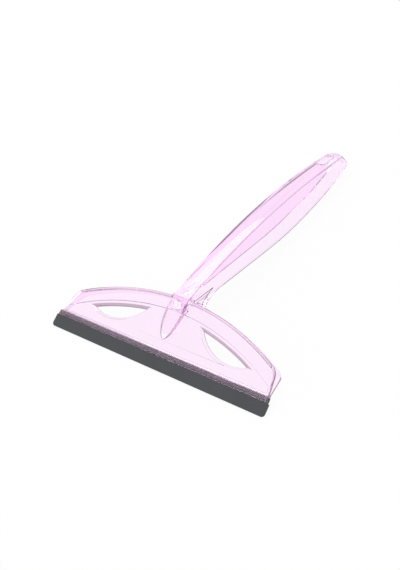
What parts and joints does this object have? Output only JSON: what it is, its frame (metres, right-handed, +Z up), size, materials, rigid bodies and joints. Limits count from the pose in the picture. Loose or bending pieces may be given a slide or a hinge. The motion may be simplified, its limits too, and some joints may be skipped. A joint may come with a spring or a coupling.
{
  "type": "window squeegee",
  "caption": "Hand squeegee with a clear arched head, lens-shaped windows, a bent open-backed handle with a hanging slot, and a rubber blade that slides in a channel.",
  "frame": {"origin": "centre of the overall footprint, on the surface that the squeegee lies on", "axes": "+X along the blade, to the right seen from the blade's side; +Y from the wiping edge to the handle's tip; +Z up, away from the surface, with the front of the head facing up"},
  "size_m": [0.2504, 0.2824, 0.0347],
  "materials": {
    "clear_head": "clear pale pink moulded plastic, polished",
    "clear_handle": "clear pale pink moulded plastic, polished",
    "blade_rubber": "dark grey rubber, matte",
    "screw_steel": "plated steel, bright"
  },
  "bodies": {
    "frame": {"head": "clear_head", "handle": "clear_handle", "fixing_screw": "screw_steel"},
    "wiper": {"blade": "blade_rubber"}
  },
  "joints": [
    {"name": "blade_slide", "type": "slide", "parent": "frame", "child": "wiper", "axis": [1, 0, 0], "range_m": [-0.23, 0.23]}
  ]
}
